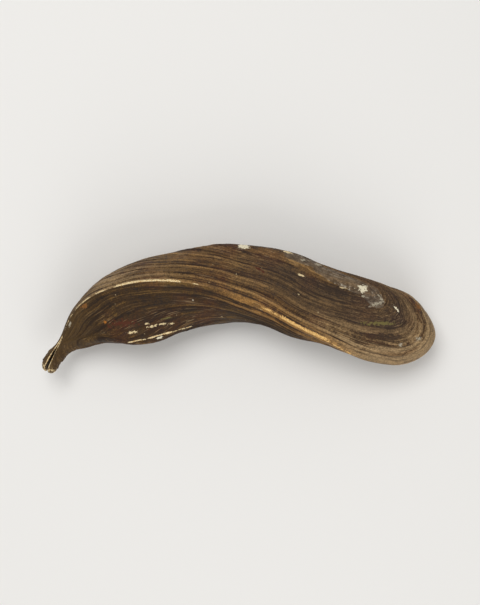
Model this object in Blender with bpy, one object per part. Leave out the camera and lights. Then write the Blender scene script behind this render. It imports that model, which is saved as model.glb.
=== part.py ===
"""Freshwater mussel shell of the long, twisted kind, lying on a table with both valves closed.

Two hollow valves meet rim to rim along one plane that turns about the long axis of the shell, and a
ligament joins them along the back. Metres, +Z up. The front end points along +X and the narrow hind
end, the beak, along -X. The shell's box is centred on the origin and its lowest spots lie at z = 0.
"""

from math import pi

import bmesh
import bpy
import numpy as np

MM = 0.001

# The long axis of the shell from the front end to the tip of the beak, in millimetres.
AXIS_X = (74.8, 65.9, 49.9, 34.9, 25.9, 17.9, -0.1, -20.2, -38.3, -50.3, -59.2, -65.9, -70.0, -72.6)
AXIS_Y = (-10.9, -9.5, -6.0, -0.8, 2.3, 5.8, 9.5, 8.0, 3.8, -1.8, -7.9, -14.0, -19.3, -24.0)
AXIS_Z = (11.8, 12.2, 14.4, 17.2, 17.2, 16.1, 14.7, 14.6, 13.3, 11.9, 12.0, 12.6, 13.0, 13.4)

# The section across the axis at each of those places, in millimetres: from the axis to the back
# (dorsal) margin and to the belly (ventral) margin, and how deep each valve is.
TO_DORSAL = (10.4, 13.5, 15.0, 14.4, 14.4, 14.8, 15.0, 14.7, 14.0, 12.4, 8.4, 4.2, 3.4, 2.8)
TO_VENTRAL = (11.4, 12.6, 14.7, 15.1, 15.8, 16.6, 15.4, 15.0, 14.6, 13.4, 9.0, 3.6, 3.4, 3.2)
RIGHT_DEPTH = (8.6, 10.8, 12.6, 12.9, 14.2, 15.2, 14.8, 14.4, 14.8, 13.2, 7.2, 2.8, 2.9, 2.1)
LEFT_DEPTH = (8.6, 10.3, 12.4, 15.9, 16.1, 15.2, 16.0, 15.8, 18.6, 14.7, 7.6, 2.6, 2.1, 2.3)

# How far the section is turned, in degrees. At 0 the right valve is on top, at 90 the belly margin.
TWIST = (2, 8, 23, 41, 50.5, 57, 70, 96.5, 114, 124.5, 134, 128, 108, 102)

FRONT_ROUNDING = 15.0
HIND_ROUNDING = 2.6
SECTION_FULLNESS = 1.2
KEEL_STRENGTH = 0.4

# The umbo, where each valve began to grow.
UMBO_FROM_FRONT = 33.0
UMBO_FROM_MARGIN = 8.5
UMBO_LEAN = 1.6

# How the shell grew: at an age from 0 to 1 the margin had come the age, to the power given here, of
# its whole way. The front grew evenly (power 1); behind it most of the width was there early. The
# places are in millimetres from the front end.
GROWTH_PLACES = (0, 26, 33, 40, 50, 62, 74, 88, 100, 112, 126, 140, 170)
GROWTH_POWERS = (1.0, 1.0, 0.80, 0.62, 0.45, 0.36, 0.38, 0.46, 0.49, 0.44, 0.34, 0.27, 0.21)

# The shell wall, the seam between the rims, and how far the rims of the beak stand open.
WALL = 1.8
BEAK_WALL = 1.2
RIM_GAP = 0.15
BEAK_GAPE = 0.7

# Ages, from 0 to 1, at which growth rested, each with a low ledge that fades out before the beak.
GROWTH_RESTS = (0.16, 0.27, 0.38, 0.48, 0.58, 0.69, 0.80, 0.90)
LEDGE_HEIGHT = 0.4
LEDGE_RUN = 0.016
LEDGE_SLOPE = 0.5

# Mesh columns round the shell, drawn a little towards its two ends. Mesh rows: parts of the way from
# the umbo to the first growth rest, two rows for each rest, and the rounded edge; then the inner face.
COLUMNS = 72
COLUMN_SHIFT = 0.03
UMBO_PARTS = (0.0, 0.1, 0.22, 0.36, 0.52, 0.68, 0.84)
EDGE_AGES = (0.985, 1.0)
INNER_ROWS = (0.97, 0.93, 0.87, 0.8, 0.7, 0.6, 0.45, 0.25, 0.0)

LIGAMENT_FROM = 40.0
LIGAMENT_LENGTH = 30.0
LIGAMENT_HALF_WIDTH = 1.7
LIGAMENT_HEIGHT = 1.3
LIGAMENT_CLEARANCE = 0.4

RIGHT = 1
LEFT = -1


def clear_scene():
    for obj in list(bpy.data.objects):
        bpy.data.objects.remove(obj, do_unlink=True)


def curve(places, values, at):
    """Smooth curve through the values, with each slope taken from both neighbours."""
    places = np.asarray(places, float)
    values = np.asarray(values, float)
    step = np.diff(places)
    rise = np.diff(values) / step
    slope = np.empty_like(values)
    slope[1:-1] = (rise[:-1] * step[1:] + rise[1:] * step[:-1]) / (step[:-1] + step[1:])
    slope[0] = 1.5 * rise[0] - 0.5 * slope[1]
    slope[-1] = 1.5 * rise[-1] - 0.5 * slope[-2]
    at = np.clip(at, places[0], places[-1])
    i = np.clip(np.searchsorted(places, at, "right") - 1, 0, len(step) - 1)
    t = (at - places[i]) / step[i]
    start = (1 + 2 * t) * (1 - t) ** 2 * values[i] + t * (1 - t) ** 2 * step[i] * slope[i]
    end = t * t * (3 - 2 * t) * values[i + 1] + t * t * (t - 1) * step[i] * slope[i + 1]
    return start + end


def smoothstep(low, high, x):
    t = np.clip((x - low) / (high - low), 0.0, 1.0)
    return t * t * (3 - 2 * t)


AXIS = np.stack([AXIS_X, AXIS_Y, AXIS_Z], axis=1)
STATIONS = np.concatenate([[0.0], np.cumsum(np.linalg.norm(np.diff(AXIS, axis=0), axis=1))])
LENGTH = STATIONS[-1]


def axis_point(u):
    """Place on the long axis, u millimetres from the front end."""
    return np.stack([curve(STATIONS, AXIS[:, k], u) for k in range(3)], axis=-1)


def unit(vectors):
    return vectors / np.linalg.norm(vectors, axis=-1, keepdims=True)


def section_frame(u):
    """Directions to the belly margin and out of the right valve, u along the axis."""
    nudge = 0.05
    along = unit(axis_point(u + nudge) - axis_point(u - nudge))
    up = np.array([0.0, 0.0, 1.0])
    upright = unit(up - along * along[..., 2:3])
    sideways = np.cross(upright, along)
    twist = np.radians(curve(STATIONS, TWIST, u))[..., None]
    to_ventral = np.cos(twist) * sideways + np.sin(twist) * upright
    to_right = np.cos(twist) * upright - np.sin(twist) * sideways
    return to_ventral, to_right


def wall_at(u):
    """Thickness of the shell, which thins towards the beak."""
    return WALL + (BEAK_WALL - WALL) * smoothstep(LENGTH - 40, LENGTH - 15, u)


def end_rounding(u, start=0.0, stop=LENGTH):
    front = np.clip((u - start) / FRONT_ROUNDING, 0, 1)
    hind = np.clip((stop - u) / HIND_ROUNDING, 0, 1)
    return np.sqrt(front * (2 - front) * hind * (2 - hind))


def plan_point(growth, angle, inner):
    """Place on the flat plan of a valve: the share `growth` of the way from the umbo to the margin."""
    start = WALL * inner
    stop = LENGTH - BEAK_WALL * inner
    u = start + (stop - start) * (1 - np.cos(angle)) / 2
    rounding = end_rounding(u, start, stop)
    inset = wall_at(u) * inner
    ventral = (curve(STATIONS, TO_VENTRAL, u) - inset) * rounding
    dorsal = (curve(STATIONS, TO_DORSAL, u) - inset) * rounding
    margin = np.where(np.sin(angle) >= 0, ventral, -dorsal)

    # A young shell is a plain lance shape; the beak appears as it grows.
    share = np.clip((u / LENGTH - 0.3) / 0.7, 0, 1)
    lance = np.where(np.sin(angle) >= 0, TO_VENTRAL[3], -TO_DORSAL[2]) * (1 - share ** 2.4) ** 0.65
    youth = smoothstep(0.25, 0.4, u / LENGTH) * (1 - smoothstep(0.3, 1.0, growth))
    shape = margin + (lance - margin) * youth

    umbo_v = UMBO_FROM_MARGIN - curve(STATIONS, TO_DORSAL, UMBO_FROM_FRONT)
    return UMBO_FROM_FRONT + growth * (u - UMBO_FROM_FRONT), umbo_v + growth * (shape - umbo_v)


def share_grown(age, angle):
    """Share of the way from the umbo to the margin that the shell had grown at an age from 0 to 1."""
    reach = LENGTH * (1 - np.cos(angle)) / 2 - UMBO_FROM_FRONT
    share = np.broadcast_to(age, np.shape(reach)).astype(float)
    for _ in range(40):
        power = curve(GROWTH_PLACES, GROWTH_POWERS, UMBO_FROM_FRONT + share * reach)
        share = (share + age ** power) / 2
    return share


def valve_depth(u, v, side, inner):
    """Height of a valve above the plane of its rim, and the same as a share of its deepest place."""
    start = WALL * inner
    stop = LENGTH - BEAK_WALL * inner
    rounding = end_rounding(u, start, stop)
    inset = wall_at(u) * inner
    dorsal = (curve(STATIONS, TO_DORSAL, u) - inset) * rounding
    ventral = (curve(STATIONS, TO_VENTRAL, u) - inset) * rounding
    across = np.clip((v + dorsal) / np.maximum(dorsal + ventral, 1e-6), 0, 1)
    crest = curve((0, 30, 60, 110, LENGTH), (0.46, 0.37, 0.42, 0.44, 0.5), u)
    to_crest = across / crest
    from_crest = (1 - across) / (1 - crest)
    vault = to_crest ** (SECTION_FULLNESS * crest) * from_crest ** (SECTION_FULLNESS * (1 - crest))
    top = np.hypot(1, 0.1)
    ridge = (top - np.hypot(1 - np.minimum(to_crest, from_crest), 0.1)) / (top - 0.1)
    keel = KEEL_STRENGTH * smoothstep(50, 95, u) * (1 - smoothstep(LENGTH - 28, LENGTH - 14, u))
    share = vault * (1 - keel) + ridge * keel
    deepest = curve(STATIONS, RIGHT_DEPTH if side == RIGHT else LEFT_DEPTH, u) - inset
    return deepest * rounding ** 0.9 * share, share


def valve_point(growth, angle, side, inner=False):
    """Point on the smooth outer or inner face of a valve, in millimetres."""
    u, v = plan_point(growth, angle, inner)
    height, share = valve_depth(u, v, side, inner)
    gape = RIM_GAP + BEAK_GAPE * smoothstep(LENGTH - 16, LENGTH - 4, u)
    lean = UMBO_LEAN * np.exp(-((u - UMBO_FROM_FRONT) / 18) ** 2) * share
    to_ventral, to_right = section_frame(u)
    across = (v - lean)[..., None] * to_ventral
    return axis_point(u) + across + (side * (height + gape))[..., None] * to_right


def outward(growth, angle, side):
    """Direction out of the outer face of a valve."""
    nudge = 0.002
    further = valve_point(growth + nudge, angle, side) - valve_point(growth - nudge, angle, side)
    around = valve_point(growth, angle + nudge, side) - valve_point(growth, angle - nudge, side)
    return unit(side * np.cross(around, further))


def ledge_rows():
    """Rows of the outer face from the first growth rest on, as (age, height of the ledge there)."""
    rows = []
    for rest in GROWTH_RESTS:
        rows.append((rest, LEDGE_HEIGHT))
        rows.append((rest + LEDGE_RUN, 0.0))
    return rows + [(age, 0.0) for age in EDGE_AGES]


def valve_rows(side):
    """Rings of points from the umbo over the rim to the inside of the umbo."""
    turn = np.linspace(0, 2 * pi, COLUMNS + 1)
    angle = turn - COLUMN_SHIFT * np.sin(2 * turn)
    first = share_grown(GROWTH_RESTS[0], angle)
    rings = [valve_point(part * first, angle, side) for part in UMBO_PARTS]
    for age, height in ledge_rows():
        growth = share_grown(age, angle)
        ring = valve_point(growth, angle, side)
        if height:
            foot = valve_point(share_grown(age + LEDGE_RUN, angle), angle, side)
            rise = np.minimum(height, LEDGE_SLOPE * np.linalg.norm(foot - ring, axis=1))
            rise *= 1 - smoothstep(95, 125, plan_point(growth, angle, False)[0])
            ring += outward(growth, angle, side) * rise[:, None]
        rings.append(ring)
    for growth in (1.0,) + INNER_ROWS:
        rings.append(valve_point(np.full_like(angle, growth), angle, side, inner=True))
    return np.array(rings)


def sheet_to_solid(name, rings):
    """Closed mesh object from a grid whose rows are the rings; the end rows close in a point."""
    rows, columns = rings.shape[:2]
    bm = bmesh.new()
    bmesh.ops.create_grid(bm, x_segments=columns - 1, y_segments=rows - 1, size=0.5)
    for vert in bm.verts:
        column = round((vert.co.x + 0.5) * (columns - 1))
        row = round((vert.co.y + 0.5) * (rows - 1))
        vert.co = rings[row, column] * MM
        vert.co.z = max(vert.co.z, 0.0)
    bmesh.ops.remove_doubles(bm, verts=bm.verts, dist=1e-6)
    bmesh.ops.recalc_face_normals(bm, faces=bm.faces)
    mesh = bpy.data.meshes.new(name)
    bm.to_mesh(mesh)
    bm.free()
    mesh.shade_smooth()
    obj = bpy.data.objects.new(name, mesh)
    bpy.context.scene.collection.objects.link(obj)
    return obj


def ligament_rows():
    """Rings of a low bead that follows the back of the shell just outside the seam."""
    around = np.linspace(0, 2 * pi, 13)
    places = LIGAMENT_FROM + LIGAMENT_LENGTH * (1 - np.cos(np.linspace(0, pi, 15))) / 2
    rings = []
    for u in places:
        share = (u - LIGAMENT_FROM) / LIGAMENT_LENGTH
        size = (4 * share * (1 - share)) ** 0.5
        to_ventral, to_right = section_frame(u)
        base = curve(STATIONS, TO_DORSAL, u) + LIGAMENT_CLEARANCE
        height = base + LIGAMENT_HEIGHT * size * np.clip(np.sin(around), 0, 1)
        width = LIGAMENT_HALF_WIDTH * size * np.cos(around)
        rings.append(axis_point(u) - height[:, None] * to_ventral + width[:, None] * to_right)
    return np.array(rings)


def add_material(obj, name, colour, roughness):
    material = bpy.data.materials.new(name)
    material.use_nodes = True
    shader = material.node_tree.nodes["Principled BSDF"]
    shader.inputs["Base Color"].default_value = (*colour, 1.0)
    shader.inputs["Roughness"].default_value = roughness
    shader.inputs["Metallic"].default_value = 0.0
    material.diffuse_color = (*colour, 1.0)
    obj.data.materials.append(material)


def build_right_valve():
    valve = sheet_to_solid("right_valve", valve_rows(RIGHT))
    add_material(valve, "right_valve_shell", (0.120, 0.076, 0.040), 0.5)


def build_left_valve():
    valve = sheet_to_solid("left_valve", valve_rows(LEFT))
    add_material(valve, "left_valve_shell", (0.098, 0.056, 0.028), 0.5)


def build_ligament():
    ligament = sheet_to_solid("ligament", ligament_rows())
    add_material(ligament, "dried_ligament", (0.026, 0.014, 0.008), 0.6)


def main():
    clear_scene()
    build_right_valve()
    build_left_valve()
    build_ligament()


main()
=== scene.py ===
"""Twisted freshwater mussel shell, dried and worn, lying on a pale table.

The valves are closed sheets bent over the same axis and sections as the solids they stand for. Growth
ledges, fine growth lines and rubbed patches are raised or sunk in their meshes; the finish follows the
same growth lines through values stored on each point.
"""

from math import pi, radians

import bpy
import numpy as np
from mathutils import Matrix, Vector, noise


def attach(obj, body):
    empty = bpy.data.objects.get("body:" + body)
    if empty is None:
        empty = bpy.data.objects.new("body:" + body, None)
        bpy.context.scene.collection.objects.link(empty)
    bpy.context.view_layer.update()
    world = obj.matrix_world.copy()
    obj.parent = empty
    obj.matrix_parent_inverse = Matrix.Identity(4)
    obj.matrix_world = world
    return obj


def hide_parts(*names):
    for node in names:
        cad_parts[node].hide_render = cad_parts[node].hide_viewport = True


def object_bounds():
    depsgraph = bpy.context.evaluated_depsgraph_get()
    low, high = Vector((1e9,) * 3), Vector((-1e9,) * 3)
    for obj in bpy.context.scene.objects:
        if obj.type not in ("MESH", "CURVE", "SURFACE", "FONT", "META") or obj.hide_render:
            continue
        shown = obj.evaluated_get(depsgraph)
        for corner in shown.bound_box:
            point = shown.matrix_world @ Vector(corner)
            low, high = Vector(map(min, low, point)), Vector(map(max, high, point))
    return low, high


MM = 0.001

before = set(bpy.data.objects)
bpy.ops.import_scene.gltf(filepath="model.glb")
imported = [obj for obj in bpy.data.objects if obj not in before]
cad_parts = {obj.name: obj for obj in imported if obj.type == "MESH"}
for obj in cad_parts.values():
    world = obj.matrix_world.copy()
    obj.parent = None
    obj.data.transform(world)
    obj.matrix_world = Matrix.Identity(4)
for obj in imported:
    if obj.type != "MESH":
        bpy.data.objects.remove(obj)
CAD_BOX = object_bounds()

# ---------------------------------------------------------------- shape of the shell, in millimetres

# The long axis from the front end to the tip of the beak.
AXIS_X = (74.8, 65.9, 49.9, 34.9, 25.9, 17.9, -0.1, -20.2, -38.3, -50.3, -59.2, -65.9, -70.0, -72.6)
AXIS_Y = (-10.9, -9.5, -6.0, -0.8, 2.3, 5.8, 9.5, 8.0, 3.8, -1.8, -7.9, -14.0, -19.3, -24.0)
AXIS_Z = (11.8, 12.2, 14.4, 17.2, 17.2, 16.1, 14.7, 14.6, 13.3, 11.9, 12.0, 12.6, 13.0, 13.4)

# The section across the axis there: reach to the back (dorsal) and belly (ventral) margin, and depth
# of each valve. At a twist of 0 degrees the right valve is on top, at 90 the belly margin.
TO_DORSAL = (10.4, 13.5, 15.0, 14.4, 14.4, 14.8, 15.0, 14.7, 14.0, 12.4, 8.4, 4.2, 3.4, 2.8)
TO_VENTRAL = (11.4, 12.6, 14.7, 15.1, 15.8, 16.6, 15.4, 15.0, 14.6, 13.4, 9.0, 3.6, 3.4, 3.2)
RIGHT_DEPTH = (8.6, 10.8, 12.6, 12.9, 14.2, 15.2, 14.8, 14.4, 14.8, 13.2, 7.2, 2.8, 2.9, 2.1)
LEFT_DEPTH = (8.6, 10.3, 12.4, 15.9, 16.1, 15.2, 16.0, 15.8, 18.6, 14.7, 7.6, 2.6, 2.1, 2.3)
TWIST = (2, 8, 23, 41, 50.5, 57, 70, 96.5, 114, 124.5, 134, 128, 108, 102)

FRONT_ROUNDING = 15.0
HIND_ROUNDING = 2.6
SECTION_FULLNESS = 1.2
KEEL_STRENGTH = 0.4
KEEL_ROUNDING = 0.1
UMBO_FROM_FRONT = 33.0
UMBO_FROM_MARGIN = 8.5
UMBO_LEAN = 1.6
WALL = 1.8
BEAK_WALL = 1.2
RIM_GAP = 0.03
BEAK_GAPE = 0.7

RIGHT = 1
LEFT = -1

# Points round each growth ring, set wider at the two ends of the shell; rings of the umbo, of the
# whole outer face and of the inner face.
COLUMNS = 440
COLUMN_SHIFT = 0.15
UMBO_RINGS = 50
OUTER_RINGS = 206
INNER_RINGS = 18

# Ages, from 0 to 1, at which growth rested.
GROWTH_RESTS = (0.16, 0.27, 0.38, 0.48, 0.58, 0.69, 0.80, 0.90)

# The front grew evenly. Behind it the margin had come as far as the age to the power given there, at
# places in millimetres from the front end.
GROWTH_PLACES = (0, 26, 33, 40, 50, 62, 74, 88, 100, 112, 126, 140, 170)
GROWTH_POWERS = (1.0, 1.0, 0.80, 0.62, 0.45, 0.36, 0.38, 0.46, 0.49, 0.44, 0.34, 0.27, 0.21)

# Heights of the growth lines in millimetres; the ages over which they rise, drop and are dark, the
# dark being partly their own colour and partly painted shade at the foot of each drop.
REST_HEIGHT = 0.30
REST_RUN = 0.030
FINE_LINES = 36
FINE_LINE_AGES = (0.10, 0.985)
FINE_LINE_HEIGHTS = (0.03, 0.16)
FINE_LINE_RUN = 0.014
LINE_DROP = 0.005
LINE_SHADE = 0.007

# The relief is full where the growth lines of the whole age lie spread over this many millimetres, and
# lower where they crowd.
FULL_RELIEF_WAY = 15.0

# Heights of the broad swells and the small lumps of the skin, and how far the bare patches are sunk.
SWELL_HEIGHT = 0.12
LUMP_HEIGHT = 0.07
BARE_SINK = 0.16


def curve(places, values, at):
    """Smooth curve through the values, with each slope taken from both neighbours."""
    places = np.asarray(places, float)
    values = np.asarray(values, float)
    gap = np.diff(places)
    rise = np.diff(values) / gap
    slope = np.empty_like(values)
    slope[1:-1] = (rise[:-1] * gap[1:] + rise[1:] * gap[:-1]) / (gap[:-1] + gap[1:])
    slope[0] = 1.5 * rise[0] - 0.5 * slope[1]
    slope[-1] = 1.5 * rise[-1] - 0.5 * slope[-2]
    at = np.clip(at, places[0], places[-1])
    i = np.clip(np.searchsorted(places, at, "right") - 1, 0, len(gap) - 1)
    t = (at - places[i]) / gap[i]
    start = (1 + 2 * t) * (1 - t) ** 2 * values[i] + t * (1 - t) ** 2 * gap[i] * slope[i]
    end = t * t * (3 - 2 * t) * values[i + 1] + t * t * (t - 1) * gap[i] * slope[i + 1]
    return start + end


def smoothstep(low, high, x):
    """0 below low, 1 above high, and eased between them."""
    t = np.clip((x - low) / (high - low), 0.0, 1.0)
    return t * t * (3 - 2 * t)


AXIS = np.stack([AXIS_X, AXIS_Y, AXIS_Z], axis=1)
STATIONS = np.concatenate([[0.0], np.cumsum(np.linalg.norm(np.diff(AXIS, axis=0), axis=1))])
LENGTH = STATIONS[-1]


def axis_point(u):
    """Place on the long axis, u millimetres from the front end."""
    return np.stack([curve(STATIONS, AXIS[:, k], u) for k in range(3)], axis=-1)


def unit(vectors):
    """The same directions, one unit long."""
    return vectors / np.maximum(np.linalg.norm(vectors, axis=-1, keepdims=True), 1e-12)


def section_frame(u):
    """Directions to the belly margin and out of the right valve, u along the axis."""
    nudge = 0.05
    along = unit(axis_point(u + nudge) - axis_point(u - nudge))
    up = np.array([0.0, 0.0, 1.0])
    upright = unit(up - along * along[..., 2:3])
    sideways = np.cross(upright, along)
    twist = np.radians(curve(STATIONS, TWIST, u))[..., None]
    to_ventral = np.cos(twist) * sideways + np.sin(twist) * upright
    to_right = np.cos(twist) * upright - np.sin(twist) * sideways
    return to_ventral, to_right


def wall_at(u):
    """Thickness of the shell, which thins towards the beak."""
    return WALL + (BEAK_WALL - WALL) * smoothstep(LENGTH - 40, LENGTH - 15, u)


def end_rounding(u, start=0.0, stop=LENGTH):
    """Share of the full width that is left towards the two rounded ends."""
    front = np.clip((u - start) / FRONT_ROUNDING, 0, 1)
    hind = np.clip((stop - u) / HIND_ROUNDING, 0, 1)
    return np.sqrt(front * (2 - front) * hind * (2 - hind))


def plan_point(growth, angle, inner):
    """Place on the flat plan of a valve: the share `growth` of the way from the umbo to the margin."""
    start = WALL * inner
    stop = LENGTH - BEAK_WALL * inner
    u = start + (stop - start) * (1 - np.cos(angle)) / 2
    rounding = end_rounding(u, start, stop)
    inset = wall_at(u) * inner
    ventral = (curve(STATIONS, TO_VENTRAL, u) - inset) * rounding
    dorsal = (curve(STATIONS, TO_DORSAL, u) - inset) * rounding
    margin = np.where(np.sin(angle) >= 0, ventral, -dorsal)

    # A young shell is a plain lance shape; the beak appears as it grows.
    share = np.clip((u / LENGTH - 0.3) / 0.7, 0, 1)
    lance = np.where(np.sin(angle) >= 0, TO_VENTRAL[3], -TO_DORSAL[2]) * (1 - share ** 2.4) ** 0.65
    youth = smoothstep(0.25, 0.4, u / LENGTH) * (1 - smoothstep(0.3, 1.0, growth))
    shape = margin + (lance - margin) * youth

    umbo_v = UMBO_FROM_MARGIN - curve(STATIONS, TO_DORSAL, UMBO_FROM_FRONT)
    return UMBO_FROM_FRONT + growth * (u - UMBO_FROM_FRONT), umbo_v + growth * (shape - umbo_v)


def share_grown(age, angle):
    """Share of the way from the umbo to the margin that the shell had grown at an age from 0 to 1."""
    reach = LENGTH * (1 - np.cos(angle)) / 2 - UMBO_FROM_FRONT
    share = np.broadcast_to(age, np.shape(reach)).astype(float)
    for _ in range(40):
        power = curve(GROWTH_PLACES, GROWTH_POWERS, UMBO_FROM_FRONT + share * reach)
        share = (share + age ** power) / 2
    return share


def across_share(u, v, inner):
    """Where v lies between the two margins (0 to 1), and where the valve is deepest there."""
    rounding = end_rounding(u, WALL * inner, LENGTH - BEAK_WALL * inner)
    inset = wall_at(u) * inner
    dorsal = (curve(STATIONS, TO_DORSAL, u) - inset) * rounding
    ventral = (curve(STATIONS, TO_VENTRAL, u) - inset) * rounding
    across = np.clip((v + dorsal) / np.maximum(dorsal + ventral, 1e-6), 0, 1)
    crest = curve((0, 30, 60, 110, LENGTH), (0.46, 0.37, 0.42, 0.44, 0.5), u)
    return across, crest


def valve_depth(u, v, side, inner):
    """Height of a valve above the plane of its rim, and the same as a share of its deepest place."""
    across, crest = across_share(u, v, inner)
    to_crest = across / crest
    from_crest = (1 - across) / (1 - crest)
    vault = to_crest ** (SECTION_FULLNESS * crest) * from_crest ** (SECTION_FULLNESS * (1 - crest))
    top = np.hypot(1, KEEL_ROUNDING)
    below = top - np.hypot(1 - np.minimum(to_crest, from_crest), KEEL_ROUNDING)
    ridge = below / (top - KEEL_ROUNDING)
    keel = KEEL_STRENGTH * smoothstep(50, 95, u) * (1 - smoothstep(LENGTH - 28, LENGTH - 14, u))
    share = vault * (1 - keel) + ridge * keel
    rounding = end_rounding(u, WALL * inner, LENGTH - BEAK_WALL * inner)
    deepest = curve(STATIONS, RIGHT_DEPTH if side == RIGHT else LEFT_DEPTH, u) - wall_at(u) * inner
    return deepest * rounding ** 0.9 * share, share


def valve_point(growth, angle, side, inner=False):
    """Point on the smooth outer or inner face of a valve, in millimetres."""
    u, v = plan_point(growth, angle, inner)
    height, share = valve_depth(u, v, side, inner)
    gape = RIM_GAP + BEAK_GAPE * smoothstep(LENGTH - 16, LENGTH - 4, u)
    lean = UMBO_LEAN * np.exp(-((u - UMBO_FROM_FRONT) / 18) ** 2) * share
    to_ventral, to_right = section_frame(u)
    across = (v - lean)[..., None] * to_ventral
    return axis_point(u) + across + (side * (height + gape))[..., None] * to_right


def ring_angles():
    """Angles of the points round a growth ring; the first and the last are one place."""
    turn = np.linspace(0, 2 * pi, COLUMNS + 1)
    return turn + COLUMN_SHIFT * np.sin(2 * turn)


def around_shell(points):
    """Steps from each point's neighbour on one side to the one on the other, round the shell."""
    around = np.roll(points[:, :-1], -1, axis=1) - np.roll(points[:, :-1], 1, axis=1)
    return np.concatenate([around, around[:, :1]], axis=1)


def outward(points, side):
    """Directions out of a sheet of points whose rows run round the shell."""
    return unit(side * np.cross(around_shell(points), np.gradient(points, axis=0)))


# ---------------------------------------------------------------- relief of the outer face

def field(points, size, seed):
    """Smooth random values from about -1 to 1 that change over `size` millimetres."""
    shift = Vector((17.3 * seed, 5.9 * seed, -11.1 * seed))
    flat = points.reshape(-1, 3) / size
    values = [noise.noise(Vector(p) + shift) for p in flat]
    return np.array(values).reshape(points.shape[:-1])


def growth_profile():
    """Height and darkness of the growth lines by age: a slow rise to each line, then a short drop; the
    darkness just past each drop is partly painted shade.
    """
    chance = np.random.default_rng(23)
    age = np.linspace(0, 1, 6001)
    height = np.zeros_like(age)
    dark = np.zeros_like(age)
    lines = [(rest, REST_HEIGHT, REST_RUN, 1.0) for rest in GROWTH_RESTS]
    for place in np.linspace(*FINE_LINE_AGES, FINE_LINES):
        place += chance.uniform(-0.4, 0.4) / FINE_LINES
        rise = chance.uniform(*FINE_LINE_HEIGHTS)
        lines.append((place, rise, FINE_LINE_RUN, chance.uniform(0.1, 0.9)))
    for place, rise, run, shade in lines:
        before = np.exp(np.minimum(age - place, 0) / run) * (age <= place)
        after = np.exp(-np.maximum(age - place, 0) / LINE_DROP) * (age > place)
        height += rise * (before + after)
        dark += shade * np.exp(-((age - place - LINE_SHADE) / LINE_SHADE) ** 2)
    return age, height - height.mean(), np.clip(dark, 0, 1)


def line_spacing(points, age):
    """How many millimetres the growth lines cover across, for the whole of the age."""
    along = around_shell(points)
    along /= np.maximum(np.linalg.norm(along, axis=-1, keepdims=True), 1e-6)
    onward = np.gradient(points, axis=0) / np.maximum(np.gradient(age, axis=0), 1e-6)[..., None]
    return np.linalg.norm(np.cross(onward, along), axis=-1)


def top_of(points, x, y):
    """The highest of the points close to x, y."""
    flat = points.reshape(-1, 3)
    apart = np.hypot(flat[:, 0] - x, flat[:, 1] - y)
    near = apart < apart.min() + 0.6
    return flat[near][flat[near][:, 2].argmax()]


def patch(points, x, y, half_length, half_width, turn):
    """1 inside a ragged oval on the upper side of the points, 0 outside."""
    centre = top_of(points, x, y)
    away = points - centre
    along = away[..., 0] * np.cos(radians(turn)) + away[..., 1] * np.sin(radians(turn))
    aside = away[..., 1] * np.cos(radians(turn)) - away[..., 0] * np.sin(radians(turn))
    height = away[..., 2] / (half_width + 3)
    distance = np.sqrt((along / half_length) ** 2 + (aside / half_width) ** 2 + height ** 2)
    return 1 - smoothstep(0.7, 1.2, distance)


def streak(points, path, half_width):
    """1 on a line over the upper side of the shell through the places of the path (x, y), 0 off it."""
    path = np.array(path)
    shares = np.linspace(0, 1, 5 * len(path))
    ways = [np.interp(shares, np.linspace(0, 1, len(path)), path[:, k]) for k in range(2)]
    stops = np.array([top_of(points, x, y) for x, y in zip(*ways)])
    stops[1:-1] = (stops[:-2] + 2 * stops[1:-1] + stops[2:]) / 4
    best = np.full(points.shape[:-1], 1e9)
    for start, end in zip(stops[:-1], stops[1:]):
        run = end - start
        away = points - start
        t = np.clip(away @ run / (run @ run + 1e-6), 0, 1)
        best = np.minimum(best, np.linalg.norm(away - t[..., None] * run, axis=-1))
    return 1 - smoothstep(0.5, 1.6, best / half_width)


def window(u, start, stop, fade=3.0):
    """1 between two places along the shell, fading at both ends."""
    return smoothstep(start - fade, start + fade, u) * (1 - smoothstep(stop - fade, stop + fade, u))


# Where the skin is worn through at the rims: from and to (mm from the front end), width (mm), and
# strength.
# On the right valve's belly rim in front, from 30 to 67 mm, these bands also carry a painted highlight
# along the lit rim.
RIGHT_RIM_WEAR_AND_HIGHLIGHT = (
    (30, 40, 0.7, 0.75),
    (40, 57, 1.3, 1.0),
    (57, 67, 0.8, 0.8),
    (99, 121, 1.1, 1.3),
    (93, 95, 0.5, 1.0),
    (124, 129, 0.8, 1.1),
    (131, 139, 0.6, 1.0),
    (140, 148, 0.3, 0.7),
    (148, 161, 0.35, 1.0),
    (0, 14, 0.5, 0.8),
)
LEFT_RIM_WEAR = ((133, 148, 0.3, 0.6), (148, 161, 0.35, 1.0), (0, 12, 0.4, 0.7))

# Places (x, y, half length, half width, turn) where the umbo's skin is gone and the bare layer is
# rubbed smooth.
RIGHT_BARE = (
    (38.5, 11.5, 13.0, 3.2, -26),
    (50.2, 5.0, 5.6, 3.2, -45),
    (24.5, 18.8, 8.5, 2.0, -18),
)

# The line worn along the keel of the left valve, as places (x, y).
LEFT_KEEL_WEAR = ((-41.4, -13.2), (-33.0, -11.6), (-26.0, -9.4), (-17.5, -7.4))
KEEL_WEAR_HALF_WIDTH = 0.36

# Strength of the wear on the tips of the beak.
TIP_WEAR = 0.62


def rim_wear_and_highlight(u, from_rim, points, bands):
    """Strength of the wear along a rim; at the front of the right valve's belly rim it also carries a
    painted highlight.
    """
    wear = np.zeros_like(u)
    for start, stop, width, strength in bands:
        edge = 1 - smoothstep(0.55, 1.35, from_rim / width)
        wear = np.maximum(wear, edge * window(u, start, stop, 2.0) * strength)
    return wear * (1 + 0.35 * field(points, 2.5, 12))


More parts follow.
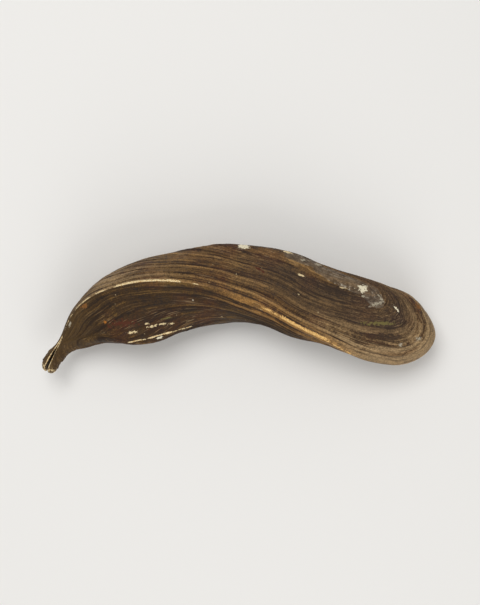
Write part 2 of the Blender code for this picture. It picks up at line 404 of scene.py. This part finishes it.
def zones(side, age, u, from_rim, belly):
    """Shares of tan late growth, of golden skin by the belly rim that is partly a painted highlight,
    and of dull dark skin.
    """
    front = 1 - smoothstep(34, 60, u)
    tan = smoothstep(0.45, 0.85, age) * front
    dull = smoothstep(0.08, 0.2, age) * (1 - smoothstep(0.55, 0.8, age)) * (1 - smoothstep(56, 92, u))
    gold = (1 - smoothstep(0.8, 4.5, from_rim)) * window(u, 34, 80, 12) * belly
    if side == RIGHT:
        tan = np.maximum(tan, window(u, 108, 152, 14) * smoothstep(0.2, 0.5, age))
    else:
        # On the left valve the gold reaches further from the rim: painted light that brightens the
        # strip facing down, which lies in shade.
        gold = np.maximum(gold, window(u, 34, 84, 10) * (1 - smoothstep(3.0, 11.0, from_rim)) * belly)
    return np.stack([tan, gold, dull], axis=-1)


def outer_rings():
    """Shares grown and angles of the points of an outer face, ring by ring from the umbo."""
    # The umbo's rings are smaller copies of the first growth rest; the others follow the growth lines.
    young, angle = np.meshgrid(np.linspace(0, 1, UMBO_RINGS), ring_angles(), indexing="ij")
    first = young[:-1] * share_grown(GROWTH_RESTS[0], angle[:-1])
    later = GROWTH_RESTS[0] + (1 - GROWTH_RESTS[0]) * np.linspace(0, 1, OUTER_RINGS - UMBO_RINGS + 1)
    later, angle = np.meshgrid(later, angle[0], indexing="ij")
    growth = np.concatenate([first, share_grown(later, angle)])
    return growth, np.broadcast_to(angle[0], growth.shape)


def bare_skin(side, points, growth):
    """Where the skin is gone: 1 on the tip of the umbo and in the rubbed patches, 0 off them."""
    bare = 1 - smoothstep(0.10, 0.22, growth)
    if side == RIGHT:
        for place in RIGHT_BARE:
            bare = np.maximum(bare, patch(points, *place))
    return smoothstep(0.35, 0.75, bare + 0.45 * field(points, 3.5, 7))


def worn_skin_and_highlight(side, points, u, from_rim, belly):
    """Wear down to the pale layer at the belly rim, the left valve's keel and the tips of the beak; at
    the front of the right valve's belly rim the worn line also carries a painted highlight.
    """
    wear = rim_wear_and_highlight(u, from_rim, points, RIGHT_RIM_WEAR_AND_HIGHLIGHT if side == RIGHT else LEFT_RIM_WEAR) * belly
    if side == LEFT:
        keel_wear = streak(points, LEFT_KEEL_WEAR, KEEL_WEAR_HALF_WIDTH)
        wear = np.maximum(wear, keel_wear * (0.85 + 0.6 * field(points, 2.0, 13)))
    return np.maximum(wear, TIP_WEAR * smoothstep(LENGTH - 4.0, LENGTH - 0.8, u))


def outer_face(side):
    """Points of the outer face with their relief, and the values that the finish needs there."""
    growth, angle = outer_rings()
    points = valve_point(growth, angle, side)
    u, v = plan_point(growth, angle, False)
    age = growth ** (1 / curve(GROWTH_PLACES, GROWTH_POWERS, u))
    from_rim = np.linalg.norm(points - points[-1], axis=-1)
    belly = v[-1] > 0
    bare = bare_skin(side, points, growth)
    wear = worn_skin_and_highlight(side, points, u, from_rim, belly)

    # Growth lines that wander a little.
    lines_at = age + 0.005 * field(points, 16, side) + 0.002 * field(points, 5, 2 + side)
    profile_age, profile_height, profile_dark_and_shade = growth_profile()
    height = np.interp(lines_at, profile_age, profile_height)
    dark = np.interp(lines_at, profile_age, profile_dark_and_shade)

    # The relief is lower where the lines crowd and where the skin is gone, and ends at the rim.
    spread = np.clip(line_spacing(points, age) / FULL_RELIEF_WAY, 0.04, 1)
    strength = (0.85 + 0.55 * field(points, 20, 9)) * spread * (1 - 0.9 * bare)
    fade = smoothstep(0.0, 0.15, growth) * (1 - smoothstep(0.99, 1.0, growth))
    raised = height * strength * fade
    raised += SWELL_HEIGHT * field(points, 9, 4) * fade * spread
    raised += LUMP_HEIGHT * field(points, 2.2, 5) * fade * spread
    raised -= BARE_SINK * bare * fade * spread
    points = points + outward(points, side) * raised[..., None]
    place = np.stack([np.cos(angle), np.sin(angle), age], axis=-1)
    marks = np.stack([dark * np.clip(strength, 0, 1) * fade, bare, wear], axis=-1)
    return points, place, marks, zones(side, age, u, from_rim, belly)


def inner_face(side):
    """Rings from the inner edge of the rim back to the inside of the umbo."""
    growth = (1 - np.linspace(0, 1, INNER_RINGS)) ** 0.7
    growth, angle = np.meshgrid(growth, ring_angles(), indexing="ij")
    points = valve_point(growth, angle, side, inner=True)
    place = np.stack([np.cos(angle), np.sin(angle), 2.0 - growth + 0.02], axis=-1)
    return points, place, np.zeros_like(points), np.zeros_like(points)


# ---------------------------------------------------------------- meshes

def deselect_all():
    """Leave nothing selected, so that a new piece is the only one."""
    for obj in bpy.context.selected_objects:
        obj.select_set(False)


def bent_sheet(name, points, values):
    """A grid whose points are moved to the given places and joined along its seam and at its poles."""
    rows, columns = points.shape[:2]
    deselect_all()
    bpy.ops.mesh.primitive_grid_add(x_subdivisions=columns - 1, y_subdivisions=rows - 1, size=1)
    piece = bpy.context.object
    piece.name = name
    mesh = piece.data
    mesh.name = name
    flat = np.empty(len(mesh.vertices) * 3)
    mesh.vertices.foreach_get("co", flat)
    flat = flat.reshape(-1, 3)
    column = np.rint((flat[:, 0] + 0.5) * (columns - 1)).astype(int)
    row = np.rint((flat[:, 1] + 0.5) * (rows - 1)).astype(int)
    placed = points[row, column] * MM
    placed = np.clip(placed, *CAD_BOX)
    mesh.vertices.foreach_set("co", placed.ravel())
    for label, vectors in values.items():
        attribute = mesh.attributes.new(label, "FLOAT_VECTOR", "POINT")
        attribute.data.foreach_set("vector", vectors[row, column].ravel())
    bpy.ops.object.mode_set(mode="EDIT")
    bpy.ops.mesh.select_all(action="SELECT")
    bpy.ops.mesh.remove_doubles(threshold=1e-7)
    bpy.ops.mesh.normals_make_consistent(inside=False)
    bpy.ops.object.mode_set(mode="OBJECT")
    bpy.ops.object.shade_smooth()
    return piece


# ---------------------------------------------------------------- finishes

def srgb(red, green, blue):
    """Colour written as 0 to 255, as the linear values that shaders take."""
    values = [channel / 255 for channel in (red, green, blue)]
    linear = [c / 12.92 if c <= 0.04045 else ((c + 0.055) / 1.055) ** 2.4 for c in values]
    return (*linear, 1.0)


def add(tree, kind, inputs=None, **settings):
    """New node of a kind, with its settings and its inputs, each a value or another node's output."""
    node = tree.nodes.new("ShaderNode" + kind)
    for name, value in settings.items():
        setattr(node, name, value)
    for socket, value in (inputs or {}).items():
        if isinstance(value, bpy.types.NodeSocket):
            tree.links.new(value, node.inputs[socket])
        else:
            node.inputs[socket].default_value = value
    return node


def calc(tree, operation, first, second):
    """Result of one sum on two values."""
    return add(tree, "Math", {0: first, 1: second}, operation=operation).outputs[0]


def eased(tree, value, low, high, start=0.0, stop=1.0):
    """From start to stop, eased, as the value goes from low to high."""
    inputs = {"Value": value, "From Min": low, "From Max": high, "To Min": start, "To Max": stop}
    return add(tree, "MapRange", inputs, interpolation_type="SMOOTHSTEP").outputs[0]


def mix(tree, share, first, second, blend="MIX"):
    """The first colour with a share of the second over it."""
    inputs = {0: share, 6: first, 7: second}
    return add(tree, "Mix", inputs, data_type="RGBA", blend_type=blend).outputs[2]


def grain(tree, vector, scale, detail=2.0, roughness=0.5):
    """Cloudy noise, 0 to 1."""
    inputs = {"Vector": vector, "Scale": scale, "Detail": detail, "Roughness": roughness}
    return add(tree, "TexNoise", inputs).outputs[0]


def weighted(tree, parts):
    """Sum of values, each times its weight."""
    total = 0.0
    for value, weight in parts:
        total = add(tree, "Math", {0: value, 1: weight, 2: total}, operation="MULTIPLY_ADD").outputs[0]
    return total


def stretched(tree, vector, stretch):
    """Places scaled by a factor of its own along each axis."""
    return add(tree, "VectorMath", {0: vector, 1: stretch}, operation="MULTIPLY").outputs[0]


def new_group(name, inputs, outputs):
    """Empty node group; inputs are (name, kind, value) and outputs (name, kind)."""
    group = bpy.data.node_groups.new(name, "ShaderNodeTree")
    for label, kind, value in inputs:
        socket = group.interface.new_socket(label, in_out="INPUT", socket_type="NodeSocket" + kind)
        socket.default_value = value
    for label, kind in outputs:
        group.interface.new_socket(label, in_out="OUTPUT", socket_type="NodeSocket" + kind)
    return group, group.nodes.new("NodeGroupInput"), group.nodes.new("NodeGroupOutput")


# Places along X, in metres: where the olive beak begins and is full, and where the colour of the worn
# rims goes from cream to gold and from gold to tan; the gold is partly a painted highlight.
OLIVE_BEAK = (-0.050, -0.063)
CREAM_TO_GOLD = (-0.005, 0.010)
GOLD_TO_TAN = (0.045, 0.055)

# Colours of the skin's zones and marks.
LATE_TAN = srgb(146, 121, 87)
# Gold by the belly rim: partly a painted highlight.
RIM_GOLD_AND_HIGHLIGHT = srgb(142, 104, 56)
DULL_BROWN = srgb(60, 49, 39)
BEAK_OLIVE = srgb(79, 59, 31)
# Dark of the growth lines: partly their own colour, partly painted shade below each ledge.
LINE_BROWN_AND_SHADE = srgb(38, 24, 14)
PALE_HAIR = srgb(172, 144, 104)
# Rubbed umbo: its grey is partly a painted sheen.
RUBBED_DARK_WITH_SHEEN = srgb(68, 59, 50)
RUBBED_LIGHT_WITH_SHEEN = srgb(110, 99, 86)
UMBO_CHALK = srgb(190, 182, 164)
WORN_CREAM = srgb(234, 214, 168)
# Gold of the worn front rim: partly a painted highlight.
WORN_GOLD_HIGHLIGHT = srgb(228, 186, 118)
WORN_TAN = srgb(178, 148, 106)
WORN_EDGE = srgb(176, 130, 72)
FLAKE = srgb(196, 176, 136)
INSIDE = srgb(92, 78, 62)


def shell_skin_group():
    """Skin of a mussel: bands and lines along the growth, tan, golden and dull zones, bare umbo, with
    painted highlight in the golden zone and the gold of the worn rims, painted shade on the growth
    lines and painted sheen on the bare umbo.
    """
    inputs = (
        ("Dark", "Color", srgb(54, 36, 20)),
        ("Skin", "Color", srgb(101, 75, 42)),
        ("Light", "Color", srgb(138, 106, 64)),
        ("Red", "Color", srgb(88, 46, 26)),
        ("Redness", "Float", 0.2),
    )
    outputs = (("Color", "Color"), ("Roughness", "Float"), ("Height", "Float"))
    tree, given, result = new_group("mussel skin", inputs, outputs)

    place = add(tree, "Attribute", attribute_name="growth_place").outputs["Vector"]
    marks = add(tree, "Attribute", attribute_name="marks").outputs["Vector"]
    zone = add(tree, "Attribute", attribute_name="zones").outputs["Vector"]
    line_dark_and_shade, bare, wear = add(tree, "SeparateXYZ", {0: marks}).outputs
    tan, gold, dull = add(tree, "SeparateXYZ", {0: zone}).outputs
    where = add(tree, "TexCoord").outputs["Object"]
    along_x = add(tree, "SeparateXYZ", {0: where}).outputs[0]

    # Bands and lines that run the whole way round, and short streaks that break them up.
    bands = grain(tree, stretched(tree, place, (0.7, 0.7, 9.0)), 1.0, 2.0)
    lines = grain(tree, stretched(tree, place, (1.1, 1.1, 32.0)), 1.0, 3.0, 0.6)
    streaks = grain(tree, stretched(tree, place, (4.5, 4.5, 24.0)), 1.0, 3.0, 0.6)
    hairs = grain(tree, stretched(tree, place, (8.0, 8.0, 110.0)), 1.0, 2.0, 0.6)
    cloud = grain(tree, where, 70.0, 3.0, 0.5)
    mottle = grain(tree, where, 500.0, 4.0, 0.65)
    speck = grain(tree, where, 2000.0, 1.0, 0.6)

    # Dark, middling and light skin.
    tone = weighted(tree, ((bands, 0.42), (lines, 0.26), (streaks, 0.18), (mottle, 0.14)))
    colour = mix(tree, eased(tree, tone, 0.445, 0.49), given.outputs["Dark"], given.outputs["Skin"])
    colour = mix(tree, eased(tree, tone, 0.515, 0.565), colour, given.outputs["Light"])
    redness = calc(tree, "MULTIPLY", eased(tree, cloud, 0.42, 0.66), given.outputs["Redness"])
    colour = mix(tree, redness, colour, given.outputs["Red"])

    # Tan late growth, golden skin by the rim that is partly a painted highlight, dull dark skin in the
    # middle of the front, olive beak.
    banded = eased(tree, tone, 0.44, 0.55, 0.05, 1.0)
    colour = mix(tree, calc(tree, "MULTIPLY", tan, banded), colour, LATE_TAN)
    colour = mix(tree, calc(tree, "MULTIPLY", gold, banded), colour, RIM_GOLD_AND_HIGHLIGHT)
    colour = mix(tree, calc(tree, "MULTIPLY", dull, 0.6), colour, DULL_BROWN)
    beak = eased(tree, along_x, *OLIVE_BEAK)
    colour = mix(tree, calc(tree, "MULTIPLY", beak, 0.75), colour, BEAK_OLIVE)

    # Fine grain, calmer on the beak; dark growth lines, partly their own colour and partly painted
    # shade below each ledge, broken here and there; short pale hairs.
    grainy = weighted(tree, ((hairs, 0.35), (speck, 0.45), (mottle, 0.20)))
    calm = calc(tree, "SUBTRACT", 1.0, calc(tree, "MULTIPLY", beak, 0.5))
    shade = calc(tree, "MULTIPLY", eased(tree, grainy, 0.38, 0.62, -0.38, 0.38), calm)
    shade = calc(tree, "ADD", shade, 1.0)
    grey = add(tree, "CombineColor", {0: shade, 1: shade, 2: shade}).outputs[0]
    colour = mix(tree, 1.0, colour, grey, "MULTIPLY")
    broken = calc(tree, "MULTIPLY", line_dark_and_shade, eased(tree, streaks, 0.40, 0.62, 0.85, 0.15))
    colour = mix(tree, broken, colour, LINE_BROWN_AND_SHADE)
    hair_share = eased(tree, cloud, 0.40, 0.56, 0.1, 0.45)
    pale_hair = calc(tree, "MULTIPLY", eased(tree, hairs, 0.60, 0.68), hair_share)
    colour = mix(tree, pale_hair, colour, PALE_HAIR)

    # The rubbed umbo: dull brown-grey, its greyer, lighter tint partly a painted sheen, with chalk
    # where growth lines cross it.
    rubbed = mix(tree, eased(tree, mottle, 0.35, 0.65), RUBBED_DARK_WITH_SHEEN, RUBBED_LIGHT_WITH_SHEEN)
    colour = mix(tree, eased(tree, bare, 0.0, 1.0, 0.0, 0.6), colour, rubbed)
    chalk = calc(tree, "MULTIPLY", eased(tree, streaks, 0.56, 0.64), eased(tree, mottle, 0.50, 0.58))
    chalk = calc(tree, "MULTIPLY", chalk, eased(tree, bare, 0.1, 0.4, 0.0, 0.6))
    colour = mix(tree, chalk, colour, UMBO_CHALK)

    # Worn rims: cream behind, gold at the front and tan at the front end; the gold is partly a painted
    # highlight along the lit rim.
    shine = mix(tree, eased(tree, along_x, *CREAM_TO_GOLD), WORN_CREAM, WORN_GOLD_HIGHLIGHT)
    shine = mix(tree, eased(tree, along_x, *GOLD_TO_TAN), shine, WORN_TAN)
    dust = grain(tree, where, 3500.0, 1.0)
    worn = mix(tree, eased(tree, dust, 0.35, 0.55), WORN_EDGE, shine)
    rough = weighted(tree, ((mottle, 1.3), (speck, 0.9)))
    ragged = calc(tree, "ADD", wear, calc(tree, "SUBTRACT", rough, 1.1))
    colour = mix(tree, eased(tree, ragged, 0.42, 0.80), colour, worn)

    # Stray pale flecks where the skin has flaked.
    flake = eased(tree, grain(tree, where, 300.0, 5.0, 0.65), 0.685, 0.72)
    colour = mix(tree, calc(tree, "MULTIPLY", flake, 0.8), colour, FLAKE)

    tree.links.new(colour, result.inputs["Color"])
    tree.links.new(eased(tree, mottle, 0.3, 0.7, 0.56, 0.72), result.inputs["Roughness"])
    relief = weighted(tree, ((lines, 0.4), (hairs, 0.3), (speck, 0.3)))
    tree.links.new(calc(tree, "MULTIPLY", relief, eased(tree, bare, 0.0, 1.0, 1.0, 0.4)),
                   result.inputs["Height"])
    return tree


def spot_group():
    """Share, 0 to 1, of a ragged spot: an oval round Centre, turned, with half sizes in metres."""
    inputs = (
        ("Centre", "Vector", (0.0, 0.0, 0.0)),
        ("Turn", "Vector", (0.0, 0.0, 0.0)),
        ("Half Size", "Vector", (0.001, 0.001, 0.001)),
        ("Raggedness", "Float", 0.5),
    )
    tree, given, result = new_group("worn spot", inputs, (("Share", "Float"),))
    where = add(tree, "TexCoord").outputs["Object"]
    from_centre = add(tree, "VectorMath", {0: where, 1: given.outputs["Centre"]}, operation="SUBTRACT")
    inputs = {"Vector": from_centre.outputs[0], "Rotation": given.outputs["Turn"]}
    turned = add(tree, "VectorRotate", inputs, rotation_type="EULER_XYZ", invert=True)
    scaled = add(tree, "VectorMath", {0: turned.outputs[0], 1: given.outputs["Half Size"]},
                 operation="DIVIDE")
    distance = add(tree, "VectorMath", {0: scaled.outputs[0]}, operation="LENGTH").outputs["Value"]
    rough = calc(tree, "SUBTRACT", grain(tree, where, 1100.0, 4.0, 0.75), 0.5)
    reach = calc(tree, "MULTIPLY", given.outputs["Raggedness"], 7.0)
    ragged = calc(tree, "ADD", distance, calc(tree, "MULTIPLY", rough, reach))
    tree.links.new(eased(tree, ragged, 1.10, 0.80), result.inputs["Share"])
    return tree


# Colours of the small worn spots.
CHALK = srgb(224, 214, 186)
CREAM = srgb(214, 192, 148)
OCHRE = srgb(122, 80, 38)
AMBER = srgb(160, 100, 36)
RUST = srgb(74, 36, 18)
OLIVE = srgb(104, 94, 52)
LICHEN = srgb(160, 150, 130)

# Half the height in millimetres over which a spot shows on a slanting wall.
SPOT_HEIGHT = 2.5

# The spots: x, y, half length, half width (mm), turn (degrees), colour, raggedness.
RIGHT_SPOTS = (
    (1.2, 24.0, 1.5, 1.0, 0, CHALK, 0.4),
    (2.9, 23.8, 1.2, 0.9, 0, CHALK, 0.6),
    (18.4, 22.6, 1.8, 0.5, -16, CREAM, 0.4),
    (23.2, 12.8, 1.4, 0.36, -20, CREAM, 0.3),
    (46.4, 8.3, 1.8, 0.9, 8, CHALK, 0.6),
    (46.6, 7.6, 1.0, 1.0, 0, CHALK, 0.8),
    (39.2, 8.2, 1.3, 0.25, -8, CREAM, 0.9),
    (46.6, 4.9, 0.6, 0.4, 0, LICHEN, 0.7),
    (51.2, 2.2, 2.2, 0.6, 20, LICHEN, 1.1),
    (53.4, 4.2, 1.6, 0.35, -55, LICHEN, 0.9),
    (58.8, 0.6, 1.5, 0.35, -50, CHALK, 0.8),
    (52.6, -5.6, 5.4, 0.6, 0, OLIVE, 0.9),
    (8.1, 15.1, 2.0, 0.4, -32, RUST, 0.7),
    (24.6, 18.6, 1.0, 0.4, -10, LICHEN, 0.9),
    (30.2, 17.0, 1.2, 0.4, -15, LICHEN, 0.9),
    (67.8, 1.2, 1.4, 0.6, -55, OCHRE, 0.8),
    (67.6, -12.0, 0.9, 0.6, 20, LICHEN, 1.0),
    (60.6, -13.8, 0.6, 0.6, 0, LICHEN, 1.0),
)
LEFT_SPOTS = (
    (-39.1, -9.3, 1.8, 0.36, 8, CREAM, 0.8),
    (-31.2, -6.8, 1.6, 0.42, 10, CREAM, 0.8),
    (-28.0, -6.0, 1.5, 0.30, 6, CREAM, 0.9),
    (-33.6, -5.9, 0.8, 0.26, 0, CREAM, 0.9),
    (-25.2, -6.2, 1.2, 0.25, 10, CREAM, 0.9),
    (-26.6, -4.2, 1.6, 0.30, 8, OLIVE, 0.8),
    (-50.2, -5.2, 0.5, 0.6, 60, AMBER, 0.7),
    (-48.4, -6.9, 0.9, 0.5, -40, RUST, 0.8),
    (-58.4, 1.0, 1.3, 0.7, 35, OCHRE, 0.8),
    (-64.2, -5.8, 0.3, 0.9, -15, LICHEN, 0.9),
    (-17.0, 2.5, 0.36, 0.36, 0, LICHEN, 0.3),
    (-42.5, -6.2, 4.0, 1.1, 4, RUST, 1.0),
    (-29.0, -11.2, 1.0, 0.4, 12, CHALK, 0.6),
)


# What each valve's skin has of its own, where it isn't as the shared skin is.
RIGHT_SKIN = {"Redness": 0.35}
LEFT_SKIN = {
    "Dark": srgb(35, 23, 11),
    "Skin": srgb(58, 40, 18),
    "Light": srgb(92, 68, 33),
    "Redness": 0.3,
}

# Gloss and fine relief of the finishes, and the colours of the dried ligament.
SKIN_GLOSS = 0.18
SKIN_BUMP = {"Strength": 0.7, "Distance": 0.0004}
LIGAMENT_BUMP = {"Strength": 0.5, "Distance": 0.0002}
LIGAMENT_DARK = srgb(36, 23, 15)
LIGAMENT_LIGHT = srgb(86, 58, 36)
LIGAMENT_FLECK = srgb(120, 92, 60)


def add_bump(tree, shader, height, bump):
    """Relief of the finish, from a height at each place."""
    normal = add(tree, "Bump", {"Height": height, **bump}).outputs["Normal"]
    tree.links.new(normal, shader.inputs["Normal"])


def shell_material(name, skin, spot, own_skin, spots, points):
    """Finish of one valve: the shared skin in its own colours, and its own spots."""
    material = bpy.data.materials.new(name)
    material.use_nodes = True
    tree = material.node_tree
    shader = tree.nodes["Principled BSDF"]
    finish = add(tree, "Group", node_tree=skin)
    for label, value in own_skin.items():
        finish.inputs[label].default_value = value
    colour = finish.outputs["Color"]
    for x, y, half_length, half_width, turn, tint, raggedness in spots:
        share = add(tree, "Group", node_tree=spot)
        share.inputs["Centre"].default_value = top_of(points, x, y) * MM
        share.inputs["Turn"].default_value = (0.0, 0.0, radians(turn))
        share.inputs["Half Size"].default_value = (half_length * MM, half_width * MM, SPOT_HEIGHT * MM)
        share.inputs["Raggedness"].default_value = raggedness
        colour = mix(tree, share.outputs["Share"], colour, tint)

    # Past an age of 1 comes the inner face, plain brown.
    place = add(tree, "Attribute", attribute_name="growth_place").outputs["Vector"]
    growth = add(tree, "SeparateXYZ", {0: place}).outputs[2]
    colour = mix(tree, eased(tree, growth, 1.005, 1.03), colour, INSIDE)
    tree.links.new(colour, shader.inputs["Base Color"])
    tree.links.new(finish.outputs["Roughness"], shader.inputs["Roughness"])
    add_bump(tree, shader, finish.outputs["Height"], SKIN_BUMP)
    shader.inputs["Specular IOR Level"].default_value = SKIN_GLOSS
    return material


def ligament_material():
    """Dark, dried, fibrous band."""
    material = bpy.data.materials.new("dried ligament")
    material.use_nodes = True
    tree = material.node_tree
    shader = tree.nodes["Principled BSDF"]
    where = add(tree, "TexCoord").outputs["Object"]
    along = grain(tree, stretched(tree, where, (120.0, 900.0, 900.0)), 1.0, 3.0)
    mottle = grain(tree, where, 600.0, 3.0)
    colour = mix(tree, eased(tree, along, 0.35, 0.65), LIGAMENT_DARK, LIGAMENT_LIGHT)
    colour = mix(tree, eased(tree, mottle, 0.62, 0.75), colour, LIGAMENT_FLECK)
    tree.links.new(colour, shader.inputs["Base Color"])
    tree.links.new(eased(tree, mottle, 0.3, 0.7, 0.45, 0.7), shader.inputs["Roughness"])
    add_bump(tree, shader, along, LIGAMENT_BUMP)
    return material


# ---------------------------------------------------------------- pieces

LIGAMENT_FROM = 40.0
LIGAMENT_LENGTH = 30.0
LIGAMENT_HALF_WIDTH = 1.7
LIGAMENT_HEIGHT = 1.25
LIGAMENT_CLEARANCE = 0.4
LIGAMENT_COLUMNS = 65
LIGAMENT_ROWS = 181


def add_valve(name, side, skin, spot, own_skin, spots):
    """One half of the shell: a closed sheet of outer face, rim and inner face."""
    outer, *outer_values = outer_face(side)
    inner, *inner_values = inner_face(side)
    joined = [np.concatenate(pair) for pair in zip(outer_values, inner_values)]
    values = dict(zip(("growth_place", "marks", "zones"), joined))
    piece = bent_sheet(name + "_shell", np.concatenate([outer, inner]), values)
    piece.data.materials.append(shell_material(name, skin, spot, own_skin, spots, outer))
    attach(piece, "root")
    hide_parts(name)


def add_ligament():
    """The dried band along the back: round above, flat below, with ridges along it that waver."""
    rows = (1 - np.cos(np.linspace(0, pi, LIGAMENT_ROWS))) / 2
    around, share = np.meshgrid(np.linspace(0, 2 * pi, LIGAMENT_COLUMNS), rows)
    u = LIGAMENT_FROM + LIGAMENT_LENGTH * share
    size = np.sqrt(4 * share * (1 - share))
    to_ventral, to_right = section_frame(u)
    ridges = 1 - 0.10 * np.abs(np.sin(around * 5)) - 0.06 * np.cos(share * 95 + 2 * np.sin(around * 2))
    crown = LIGAMENT_HEIGHT * size * np.clip(np.sin(around), 0, 1) * ridges
    height = curve(STATIONS, TO_DORSAL, u) + LIGAMENT_CLEARANCE + crown
    width = LIGAMENT_HALF_WIDTH * size * np.cos(around)
    points = axis_point(u) - height[..., None] * to_ventral + width[..., None] * to_right
    piece = bent_sheet("ligament_band", points, {})
    piece.data.materials.append(ligament_material())
    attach(piece, "root")
    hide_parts("ligament")


def add_shell():
    """Both valves and the ligament that joins them."""
    skin = shell_skin_group()
    spot = spot_group()
    add_valve("right_valve", RIGHT, skin, spot, RIGHT_SKIN, RIGHT_SPOTS)
    add_valve("left_valve", LEFT, skin, spot, LEFT_SKIN, LEFT_SPOTS)
    add_ligament()


# ---------------------------------------------------------------- table, light and camera

FLOOR_SIZE = 1.3
FLOOR_COLOUR = (0.80, 0.79, 0.77, 1.0)
FLOOR_ROUGHNESS = 0.9

# The sky as a light, and as it is seen behind the table; the lamps as place, size and power.
SKY_COLOUR = (1.0, 0.99, 0.97, 1.0)
SKY_LIGHT = 0.45
SKY_SEEN = 0.8
LAMPS = {"key": ((-0.18, 0.34, 0.85), 0.5, 4.4), "fill": ((0.15, -0.70, 0.50), 0.6, 2.6)}

# What the camera takes in: the width of the view, in metres, at the height of the view plane.
CAMERA_LENS = 100.0
SENSOR_WIDTH = 36.0
VIEW_WIDTH = 0.1818
VIEW_CENTRE = (0.0006, 0.0023)
VIEW_PLANE = 0.014


def plain_material(name, colour, roughness):
    """Even finish, for what isn't part of the shell."""
    material = bpy.data.materials.new(name)
    material.use_nodes = True
    shader = material.node_tree.nodes["Principled BSDF"]
    shader.inputs["Base Color"].default_value = colour
    shader.inputs["Roughness"].default_value = roughness
    return material


def add_floor():
    """Pale table that the shell lies on."""
    deselect_all()
    bpy.ops.mesh.primitive_plane_add(size=FLOOR_SIZE, location=(0, 0, 0))
    floor = bpy.context.object
    floor.name = "table"
    floor.data.materials.append(plain_material("table", FLOOR_COLOUR, FLOOR_ROUGHNESS))


def add_area_light(name, place, size, power):
    """Square lamp that points at the middle of the table."""
    deselect_all()
    bpy.ops.object.light_add(type="AREA", location=place)
    light = bpy.context.object
    light.name = name
    light.data.size = size
    light.data.energy = power
    light.rotation_euler = (-Vector(place)).to_track_quat("-Z", "Y").to_euler()


def add_lights():
    """Soft sky and two lamps; seen directly or in a shine, the sky is as bright as the table."""
    world = bpy.data.worlds.new("studio")
    bpy.context.scene.world = world
    world.use_nodes = True
    tree = world.node_tree
    rays = add(tree, "LightPath").outputs
    seen = calc(tree, "MAXIMUM", rays["Is Camera Ray"], rays["Is Glossy Ray"])
    seen = calc(tree, "MAXIMUM", seen, rays["Is Transmission Ray"])
    background = tree.nodes["Background"].inputs
    background["Color"].default_value = SKY_COLOUR
    tree.links.new(eased(tree, seen, 0.0, 1.0, SKY_LIGHT, SKY_SEEN), background["Strength"])
    for name, (place, size, power) in LAMPS.items():
        add_area_light(name, place, size, power)


def add_camera():
    """Camera that looks straight down at the shell."""
    distance = VIEW_WIDTH * CAMERA_LENS / SENSOR_WIDTH
    deselect_all()
    bpy.ops.object.camera_add(location=(*VIEW_CENTRE, VIEW_PLANE + distance), rotation=(0, 0, 0))
    camera = bpy.context.object
    camera.data.lens = CAMERA_LENS
    camera.data.sensor_fit = "HORIZONTAL"
    camera.data.sensor_width = SENSOR_WIDTH
    bpy.context.scene.camera = camera


add_shell()
add_floor()
add_lights()
add_camera()
bpy.context.scene.view_settings.view_transform = "Standard"
